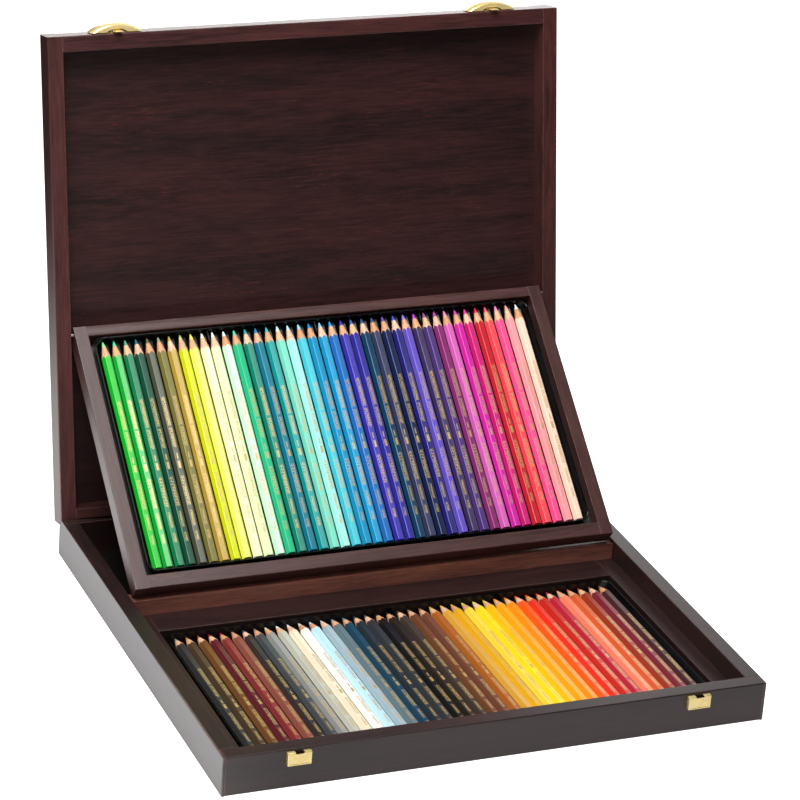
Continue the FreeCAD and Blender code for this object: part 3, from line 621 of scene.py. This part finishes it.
def eased_copy(node, name, material, body, slot, width, shortest=6.0, segments=2, sharpest=25.0, beside=()):
    """Copy of a CAD node with its long outward edges eased, but for those that lie against a neighbour."""
    bm = merged_copy(node)
    if body == "lid" and slot == "case_wood":
        clear_of_base(bm)
    boxes = [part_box(neighbour) for neighbour in beside]

    def at_joint(edge):
        middle = (edge.verts[0].co + edge.verts[1].co) / 2
        return any(all(low[i] - TOUCH * MM < middle[i] < high[i] + TOUCH * MM for i in range(3))
                   for low, high in boxes)

    edges = [edge for edge in bm.edges if edge.is_manifold and edge.is_convex
             and edge.calc_length() > shortest * MM and edge.calc_face_angle() > math.radians(sharpest)
             and not at_joint(edge)]
    round_edges(bm, edges, width * MM, segments)
    mesh = bpy.data.meshes.new(name)
    bm.to_mesh(mesh)
    bm.free()
    return finish_mesh(mesh, name, [material], body, [node])


# ---- boards -------------------------------------------------------------------------------------

# Node, wood, body, slot and width of the eased edges.
BOARDS = [
    ("base_front_wall", ACROSS, "base", "case_wood", 0.5),
    ("base_back_wall", ACROSS, "base", "case_wood", 0.5),
    ("base_left_wall", BASE_SIDES, "base", "case_wood", 0.5),
    ("base_right_wall", BASE_SIDES, "base", "case_wood", 0.5),
    ("left_batten", BASE_SIDES, "base", "case_wood", 0.35),
    ("right_batten", BASE_SIDES, "base", "case_wood", 0.35),
    ("back_batten", SHELF_PAINTED_SHADE, "base", "case_wood", 0.35),
    ("rear_partition", PARTITION_PAINTED_LIGHT, "base", "case_wood", 0.15),
    ("lid_front_wall", LID_ACROSS, "lid", "case_wood", 0.4),
    ("lid_back_wall", LID_ACROSS, "lid", "case_wood", 0.4),
    ("lid_left_wall", LID_SIDES, "lid", "case_wood", 0.4),
    ("lid_right_wall", LID_SIDES, "lid", "case_wood", 0.4),
    ("tray_left_stile", TRAY_SIDES, "tray", "tray_wood", 0.4),
    ("tray_right_stile", TRAY_SIDES, "tray", "tray_wood", 0.4),
    ("tray_top_rail", TRAY_ACROSS, "tray", "tray_wood", 0.4),
    ("tray_bottom_rail", TRAY_ACROSS, "tray", "tray_wood", 0.4),
]
# Boards that meet at their ends, where their edges stay sharp.
FRAMES = [("base_front_wall", "base_back_wall", "base_left_wall", "base_right_wall"),
          ("lid_front_wall", "lid_back_wall", "lid_left_wall", "lid_right_wall"),
          ("tray_left_stile", "tray_right_stile", "tray_top_rail", "tray_bottom_rail")]
for board, wood, carrier, finish_slot, ease in BOARDS:
    neighbours = [part for ring in FRAMES if board in ring for part in ring if part != board]
    eased_copy(board, board.replace("_wall", "_board") + "_eased", wood, carrier, finish_slot, ease,
               beside=neighbours)


def dress(node, material):
    """Gives its material to a CAD node that stays."""
    for slot in frame["nodes"][node].material_slots:
        slot.material = material


for panel, wood in (("base_bottom_panel", WELL_BOARD), ("lid_panel", LID_PANEL), ("tray_panel", WELL_BOARD)):
    dress(panel, wood)

# ---- brass fittings -----------------------------------------------------------------------------

for fitting in ("base_hinge_leaves", "lid_hinge_leaves", "latch_plates", "base_hinge_screws",
                "lid_hinge_screws", "latch_screws"):
    dress(fitting, BRASS)
for pin in ("hinge_pins", "tray_pivot_pins", "latch_pins"):
    dress(pin, STEEL)


CATCH_SHEET = 0.7
CATCH_ROUND = 0.45
CATCH_BORDER = 0.75     # width of the raised border
CATCH_STEP_RUN = 0.18   # slope from the border down to the sunk face
CATCH_STEP_DEPTH = 0.16
CATCH_SEAT = 0.02       # left between the plate and the wall
NOTCH_HALF = 3.3
NOTCH_DEPTH = 1.3
NOTCH_TAPER = 0.86
OVERCUT = 1.0           # that a cutter reaches past what it cuts


def catch_plate(side):
    """Pressed box of the catch: raised border, and a notch that the tongue drops into."""
    node = "catch_plate_" + side
    low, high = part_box(node)
    wall_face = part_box("base_front_wall")[0].y
    middle = (low.x + high.x) / 2

    def outer(edge):
        """Whether an edge is one of the front face's or runs from front to back."""
        at_front = sum(abs(vert.co.y - low.y) < 1e-6 for vert in edge.verts) == 2
        return at_front or abs(edge.verts[0].co.y - edge.verts[1].co.y) > 1e-4

    bm = bmesh.new()
    made = cube(bm, low, Vector((high.x, wall_face - CATCH_SEAT * MM, high.z)))
    round_edges(bm, [edge for edge in edges_of(made) if outer(edge)], CATCH_ROUND * MM, 3)
    face = min(bm.faces, key=lambda f: (f.calc_center_median().y, -f.calc_area()))
    bmesh.ops.inset_individual(bm, faces=[face], thickness=CATCH_BORDER * MM, depth=0.0)
    bmesh.ops.inset_individual(bm, faces=[face], thickness=CATCH_STEP_RUN * MM, depth=-CATCH_STEP_DEPTH * MM)
    shell = bpy.data.meshes.new(node)
    bm.to_mesh(shell)
    bm.free()
    sheet = Vector((CATCH_SHEET, CATCH_SHEET, CATCH_SHEET)) * MM
    behind = wall_face + OVERCUT * MM
    hollow = bmesh.new()
    cube(hollow, low + sheet, Vector((high.x - sheet.x, behind, high.z - sheet.z)))
    notch = bmesh.new()
    made = cube(notch, Vector((middle - NOTCH_HALF * MM, low.y - OVERCUT * MM, high.z - NOTCH_DEPTH * MM)),
                Vector((middle + NOTCH_HALF * MM, behind, high.z + OVERCUT * MM)))
    bmesh.ops.scale(notch, vec=(NOTCH_TAPER, 1, 1), space=Matrix.Translation((-middle, 0, 0)),
                    verts=[vert for vert in made if vert.co.z < high.z])
    mesh = carved(shell, [hollow, notch])
    return finish_mesh(mesh, "catch_%s" % side, [BRASS], "base", [node], crease=30)


def carved(mesh, cutters, operation="DIFFERENCE"):
    """Mesh after cutting it with each cutter; the cutters are bmeshes and are used up."""
    piece = bpy.data.objects.new("blank", mesh)
    bpy.context.scene.collection.objects.link(piece)
    tools = []
    for cutter in cutters:
        bmesh.ops.recalc_face_normals(cutter, faces=cutter.faces)
        tool_mesh = bpy.data.meshes.new("cutter")
        cutter.to_mesh(tool_mesh)
        cutter.free()
        tool = bpy.data.objects.new("cutter", tool_mesh)
        bpy.context.scene.collection.objects.link(tool)
        tools.append(tool)
        step = piece.modifiers.new("cut", "BOOLEAN")
        step.operation = operation
        step.solver = "EXACT"
        step.object = tool
    graph = bpy.context.evaluated_depsgraph_get()
    result = bpy.data.meshes.new_from_object(piece.evaluated_get(graph))
    for item in tools + [piece]:
        bpy.data.objects.remove(item)
    return result


for side in ("left", "right"):
    catch_plate(side)
    eased_copy("latch_lever_" + side, "latch_bow_" + side, BOW_BRASS_PAINTED_LIGHT, "latch_" + side, "brass", 0.3,
               shortest=1.2, segments=3, sharpest=20.0)

# ---- formed inserts -----------------------------------------------------------------------------

PENCILS = 40            # in each insert
BAY = 10                # pencils between two ribs
PENCIL_LENGTH = 175.0
PENCIL_FLATS = 6.4
PENCIL_RADIUS = PENCIL_FLATS / 2 / math.cos(math.radians(30))

SHEET = 0.6
RIM_CORNER = 6.5
RIM_LIP = 0.6           # flat width of the rim
RIM_ROUND = 0.35        # rounding from the lip down to the wall
RIM_SKIRT = 0.5         # turned down outside the rim
SIDE_DRAFT = 20.0
END_DRAFT = 4.0
WALL_SHORT = 1.4        # height that the walls leave to the roundings at top and foot
FOOT_DROP = 0.7
FOOT_RUNS = (0.8, 0.6)  # at the sides and at the ends
SEAT_MARGIN = 2.4       # that the seats are shorter than the insert
SEAT_SHEET = 0.3
RIB_WIDTH = 1.1
RIB_TOP_GAP = 1.2       # below the rim
RIB_BACK_GAP = 1.6
RIB_REACH = 10.1        # front end of a rib, from the insert's back
RIB_ROUND = 0.35
RIB_ROUND_FROM = 5.0    # above the insert's bottom


def rounded_plate(bm, low, high, corner, segments):
    """Flat face between two corners, its four corners rounded."""
    made = bmesh.ops.create_grid(bm, x_segments=1, y_segments=1, size=0.5)["verts"]
    bmesh.ops.scale(bm, vec=(high.x - low.x, high.y - low.y, 1), verts=made)
    bmesh.ops.translate(bm, vec=((low.x + high.x) / 2, (low.y + high.y) / 2, high.z), verts=made)
    bmesh.ops.bevel(bm, geom=made, offset=corner, offset_type="OFFSET", segments=segments, profile=0.5,
                    affect="VERTICES", material=-1, clamp_overlap=True)
    return max(bm.faces, key=lambda face: face.calc_area())


def lower_step(bm, face, drop, dx, dy):
    """Extrudes a face down, draws it in by dx and dy on each side, and returns the new face."""
    made = bmesh.ops.extrude_face_region(bm, geom=[face])["geom"]
    verts = [item for item in made if isinstance(item, bmesh.types.BMVert)]
    new_face = [item for item in made if isinstance(item, bmesh.types.BMFace)][0]
    bmesh.ops.translate(bm, vec=(0, 0, -drop), verts=verts)
    xs = [vert.co.x for vert in verts]
    ys = [vert.co.y for vert in verts]
    middle = Vector(((min(xs) + max(xs)) / 2, (min(ys) + max(ys)) / 2, 0))
    half_x = (max(xs) - min(xs)) / 2
    half_y = (max(ys) - min(ys)) / 2
    bmesh.ops.scale(bm, vec=((half_x - dx) / half_x, (half_y - dy) / half_y, 1),
                    space=Matrix.Translation(-middle), verts=verts)
    if face.is_valid:
        bmesh.ops.delete(bm, geom=[face], context="FACES_ONLY")
    return new_face


def formed_seats(bm, level, place, low, high):
    """Adds the pleated sheet with a V-shaped seat for each pencil; returns the pitch and the rise."""
    first_low = extent(level + "_pencil_casings_1", place)[0]
    last_high = extent(level + "_pencil_casings_4", place)[1]
    pitch = (last_high.x - first_low.x - 2 * PENCIL_RADIUS * MM) / (PENCILS - 1)
    rise = pitch / 2 * math.tan(math.radians(30))
    seats = bmesh.ops.create_grid(bm, x_segments=2 * PENCILS, y_segments=1, size=0.5)["verts"]
    bmesh.ops.scale(bm, vec=(pitch * PENCILS, high.y - low.y - SEAT_MARGIN * MM, 1), verts=seats)
    bmesh.ops.translate(bm, vec=(0, (low.y + high.y) / 2, low.z + SHEET * MM), verts=seats)
    ridges = [vert for vert in seats if round(vert.co.x / (pitch / 2)) % 2 == 0]
    bmesh.ops.translate(bm, vec=(0, 0, rise), verts=ridges)
    return pitch, rise


def formed_rib(bm, x, bottom, low, high):
    """Adds the short rib that parts two bays of pencils at their points."""
    made = cube(bm, Vector((x - RIB_WIDTH / 2 * MM, high.y - RIB_REACH * MM, bottom)),
                Vector((x + RIB_WIDTH / 2 * MM, high.y - RIB_BACK_GAP * MM, high.z - RIB_TOP_GAP * MM)))
    top = [edge for edge in edges_of(made)
           if min(vert.co.z for vert in edge.verts) > low.z + RIB_ROUND_FROM * MM]
    round_edges(bm, top, RIB_ROUND * MM, 2)


def formed_insert(level, place, body):
    """Glossy tray insert: rim with rounded corners, sloping walls, pleated seats and three ribs."""
    node = level + "_insert"
    low, high = extent(node, place)
    height = (high.z - low.z) - SHEET * MM
    bm = bmesh.new()
    face = rounded_plate(bm, low, high, RIM_CORNER * MM, 8)
    face = lower_step(bm, face, 0.0, RIM_LIP * MM, RIM_LIP * MM)
    face = lower_step(bm, face, RIM_ROUND * MM, RIM_ROUND * MM, RIM_ROUND * MM)
    depth = height - WALL_SHORT * MM
    side_run = depth * math.tan(math.radians(SIDE_DRAFT))
    end_run = depth * math.tan(math.radians(END_DRAFT))
    face = lower_step(bm, face, depth, side_run, end_run)
    face = lower_step(bm, face, FOOT_DROP * MM, FOOT_RUNS[0] * MM, FOOT_RUNS[1] * MM)
    bmesh.ops.delete(bm, geom=[face], context="FACES_ONLY")
    rim = [edge for edge in bm.edges if edge.is_boundary and edge.verts[0].co.z > high.z - TOUCH * MM]
    skirt = bmesh.ops.extrude_edge_only(bm, edges=rim)["geom"]
    bmesh.ops.translate(bm, vec=(0, 0, -RIM_SKIRT * MM),
                        verts=[item for item in skirt if isinstance(item, bmesh.types.BMVert)])
    pitch, rise = formed_seats(bm, level, place, low, high)
    bmesh.ops.solidify(bm, geom=bm.faces[:], thickness=SEAT_SHEET * MM)
    for count in range(BAY, PENCILS, BAY):
        formed_rib(bm, (count - PENCILS / 2) * pitch, low.z + SHEET * MM + rise, low, high)
    return finish(bm, level + "_formed_insert", [BLACK], body, [node], place, crease=40)


formed_insert("lower", BASE, "base")
formed_insert("upper", TRAY, "tray")

# ---- pencils ------------------------------------------------------------------------------------

# Paint and core of each pencil, from left to right, as paint codes.
UPPER_PAINTS = [
    0x10BE28, 0x00AC38, 0x007C4C, 0x004C34, 0x4C503C, 0x7C7434, 0xBC9C38, 0xD4DC00, 0xF0F060, 0xFCFAC8,
    0xE8FAC0, 0xD0FAD8, 0x08B880, 0x008470, 0x007890, 0x009C98, 0x7CDCC4, 0xA8F0E4, 0x44C4D4, 0x0090BC,
    0x0898C8, 0x186CB8, 0x342CA8, 0x2C2898, 0x003C5C, 0x34385C, 0x081C4C, 0x201C7C, 0x6450C0, 0x3A2A5C,
    0x4C3078, 0x88286C, 0xD860B8, 0xD020A0, 0xCC1474, 0xC81C2C, 0xF84854, 0xFC5090, 0xFFA0A4, 0xFFDCC4]
UPPER_CORES = [
    0x90F090, 0x50D8A0, 0x4FA080, 0x206C74, 0x5C6848, 0x98A078, 0xC4A030, 0xD0DC88, 0xF0F860, 0xFFFFF4,
    0xF8FFE8, 0xF0FFF0, 0x58D8B0, 0x38A898, 0x2080B8, 0x40C0C0, 0xD8FCFC, 0xC0F0F4, 0xA0DCF0, 0x1088C8,
    0x90C8E8, 0x20A0E0, 0x4038B0, 0x4868A8, 0x2C5488, 0x485080, 0x6848B0, 0x4850C0, 0x9078D8, 0xC040C8,
    0x985890, 0xB048A8, 0xF090C0, 0xD040A8, 0xD83090, 0xE02848, 0xFC5860, 0xFF98C8, 0xFFB0A0, 0xFFF8F4]
LOWER_PAINTS = [
    0x303030, 0x4C3824, 0x744820, 0x601424, 0x8C3030, 0x905040, 0x302828, 0x484C50, 0x9C9C98, 0xC8C8B8,
    0xFAECD0, 0xFBFAF8, 0xC4EAF8, 0xA8BCC4, 0x647880, 0x104058, 0x202C34, 0x303438, 0x080808, 0x201810,
    0x40342C, 0x704020, 0x744430, 0xB06018, 0xE0A838, 0xE8B010, 0xF8DC40, 0xFCE018, 0xFFC000, 0xFFAC08,
    0xFF9408, 0xFF5C08, 0xE83018, 0xCC2418, 0xC02038, 0xFF8868, 0xD8602C, 0xA03418, 0x802030, 0x482020]
LOWER_CORES = [
    0x80848C, 0xB08848, 0xA85838, 0xA82040, 0xC02848, 0xC09078, 0x504C48, 0x907C74, 0xF0E8E0, 0xFFFCF4,
    0xFFF8F0, 0xF4F4FC, 0xC8E4FC, 0xE0E4E8, 0x8098A8, 0x5880A0, 0x304858, 0x505860, 0x101010, 0x282420,
    0x684C40, 0xA07840, 0xA05848, 0xD8B040, 0xE8C050, 0xE8B020, 0xF8E850, 0xFCF450, 0xFFDC10, 0xFFA020,
    0xFF8C18, 0xFF7020, 0xF04C20, 0xE84020, 0xCC3050, 0xFFA090, 0xE07040, 0xC84C28, 0x904840, 0x804838]
# How far each pencil lies off its place and is rolled, repeated along the row.
SWAYS = [0.1, -0.12, 0.04, -0.15, 0.0, 0.14, -0.05, 0.09, -0.1, 0.03, -0.14]
ROLLS = [1.2, -2.0, 0.5, 2.2, -0.8, 1.7, -1.4]
TIMBERS = [0xF0C09C, 0xE8B48C, 0xF8D0B4, 0xECBC90, 0xFCD8BC, 0xE4B080, 0xF4CCA4]
CONE_SLOPE = math.tan(math.radians(13.0))
CORE_RADIUS = 1.5
TIP_RADIUS = 0.5
BLUNT_END = 174.8       # where the full cone is as narrow as the tip
APEX = BLUNT_END + TIP_RADIUS / CONE_SLOPE
BARREL_ROUND = 0.22
BUTT_ROUND = 0.35
BROAD_FACET = 100.0     # square millimetres


def sharpener():
    """Solid of revolution that a pencil is cut to: wide barrel, cone of wood, core and blunt tip."""
    wide = 7.0
    before_butt = -5.0
    shoulder = APEX - wide / CONE_SLOPE
    core_start = APEX - CORE_RADIUS / CONE_SLOPE
    profile = [(0, before_butt), (wide, before_butt), (wide, shoulder), (CORE_RADIUS, core_start),
               (TIP_RADIUS, BLUNT_END - 0.25), (TIP_RADIUS * 0.7, BLUNT_END), (0, BLUNT_END + 0.1)]
    bm = bmesh.new()
    line = [bm.verts.new((radius * MM, along * MM, 0)) for radius, along in profile]
    chain = [bm.edges.new(pair) for pair in zip(line, line[1:])]
    bmesh.ops.spin(bm, geom=line + chain, cent=(0, 0, 0), axis=(0, 1, 0), dvec=(0, 0, 0),
                   angle=math.tau, steps=24, use_merge=True)
    bmesh.ops.remove_doubles(bm, verts=bm.verts, dist=1e-7)
    for face in bm.faces:
        far = max(vert.co.y for vert in face.verts) / MM
        near = min(vert.co.y for vert in face.verts) / MM
        face.material_index = 2 if near > core_start - 0.01 else (1 if far > shoulder + 0.01 else 0)
    return bm


def pencil_blank():
    """One pencil along Y, its flat end at the origin and a flat of its hexagon upwards."""
    bm = bmesh.new()
    bmesh.ops.create_cone(bm, cap_ends=True, segments=6, radius1=PENCIL_RADIUS * MM,
                          radius2=PENCIL_RADIUS * MM, depth=PENCIL_LENGTH * MM)
    turn = Matrix.Rotation(math.radians(30), 3, "Y") @ Matrix.Rotation(math.radians(-90), 3, "X")
    bmesh.ops.rotate(bm, cent=(0, 0, 0), matrix=turn, verts=bm.verts)
    bmesh.ops.translate(bm, vec=(0, PENCIL_LENGTH / 2 * MM, 0), verts=bm.verts)
    long_edges = [edge for edge in bm.edges if edge.calc_length() > PENCIL_LENGTH / 2 * MM]
    round_edges(bm, long_edges, BARREL_ROUND * MM, 3)
    butt = [edge for edge in bm.edges if max(vert.co.y for vert in edge.verts) < 1e-6]
    round_edges(bm, butt, BUTT_ROUND * MM, 2)
    mesh = bpy.data.meshes.new("pencil_blank")
    bm.to_mesh(mesh)
    bm.free()
    for _ in (LACQUER, BARE, CORE):
        mesh.materials.append(None)
    return carved(mesh, [sharpener()], "INTERSECT")


def imprint_map(bm):
    """Length along the pencil, and place across the upper flat that carries its foil; -1 elsewhere."""
    layer = bm.loops.layers.uv.new("imprint")
    for face in bm.faces:
        marked = face.material_index == 0 and face.normal.z > 0.99
        for loop in face.loops:
            place = loop.vert.co
            across = place.x / (PENCIL_RADIUS * MM) + 0.5 if marked else -1.0
            loop[layer].uv = (place.y / (IMPRINT_SPAN * MM), across)


def pencil_master():
    """Mesh of a pencil with its imprint map."""
    bm = bmesh.new()
    bm.from_mesh(pencil_blank())
    imprint_map(bm)
    mesh = bpy.data.meshes.new("pencil_master")
    bm.to_mesh(mesh)
    bm.free()
    return mesh


def pencil_bay(master, level, number, place, body, paints, cores):
    """Ten pencils side by side, each with its own colours."""
    casings = "%s_pencil_casings_%d" % (level, number)
    leads = "%s_pencil_leads_%d" % (level, number)
    low, high = extent(casings, place)
    pitch = (high.x - low.x - 2 * PENCIL_RADIUS * MM) / (BAY - 1)
    bm = bmesh.new()
    for name in ("paint", "timber", "core"):
        bm.verts.layers.float_color.new(name)
    bm.loops.layers.uv.new("imprint")
    for i in range(BAY):
        before = len(bm.verts)
        bm.from_mesh(master)
        bm.verts.ensure_lookup_table()
        made = bm.verts[before:]
        which = (number - 1) * BAY + i
        colours = {"paint": paints[which], "timber": TIMBERS[which * 3 % len(TIMBERS)], "core": cores[which]}
        sway = SWAYS[which % len(SWAYS)] * MM
        roll = Matrix.Rotation(math.radians(ROLLS[which % len(ROLLS)]), 3, "Y")
        at = Vector((low.x + PENCIL_RADIUS * MM + i * pitch + sway, low.y, (low.z + high.z) / 2))
        bmesh.ops.rotate(bm, cent=(0, 0, 0), matrix=roll, verts=made)
        bmesh.ops.translate(bm, vec=at, verts=made)
        for name, code in colours.items():
            layer = bm.verts.layers.float_color[name]
            for vert in made:
                vert[layer] = rgba(code)
    piece = finish(bm, "%s_pencils_%d" % (level, number), [LACQUER, BARE, CORE], body,
                   [casings, leads], place, crease=22)
    for facet in piece.data.polygons:
        if facet.area > BROAD_FACET * MM * MM:
            facet.use_smooth = False
    return piece


master = pencil_master()
for number in range(1, PENCILS // BAY + 1):
    pencil_bay(master, "lower", number, BASE, "base", LOWER_PAINTS, LOWER_CORES)
    pencil_bay(master, "upper", number, TRAY, "tray", UPPER_PAINTS, UPPER_CORES)

# ---- stage --------------------------------------------------------------------------------------

FLOOR_HALF = 6.0  # metres

floor_bm = bmesh.new()
bmesh.ops.create_grid(floor_bm, x_segments=1, y_segments=1, size=FLOOR_HALF)
floor_mesh = bpy.data.meshes.new("floor")
floor_bm.to_mesh(floor_mesh)
floor_bm.free()
floor_mesh.materials.append(FLOOR)
floor = bpy.data.objects.new("floor", floor_mesh)
bpy.context.scene.collection.objects.link(floor)
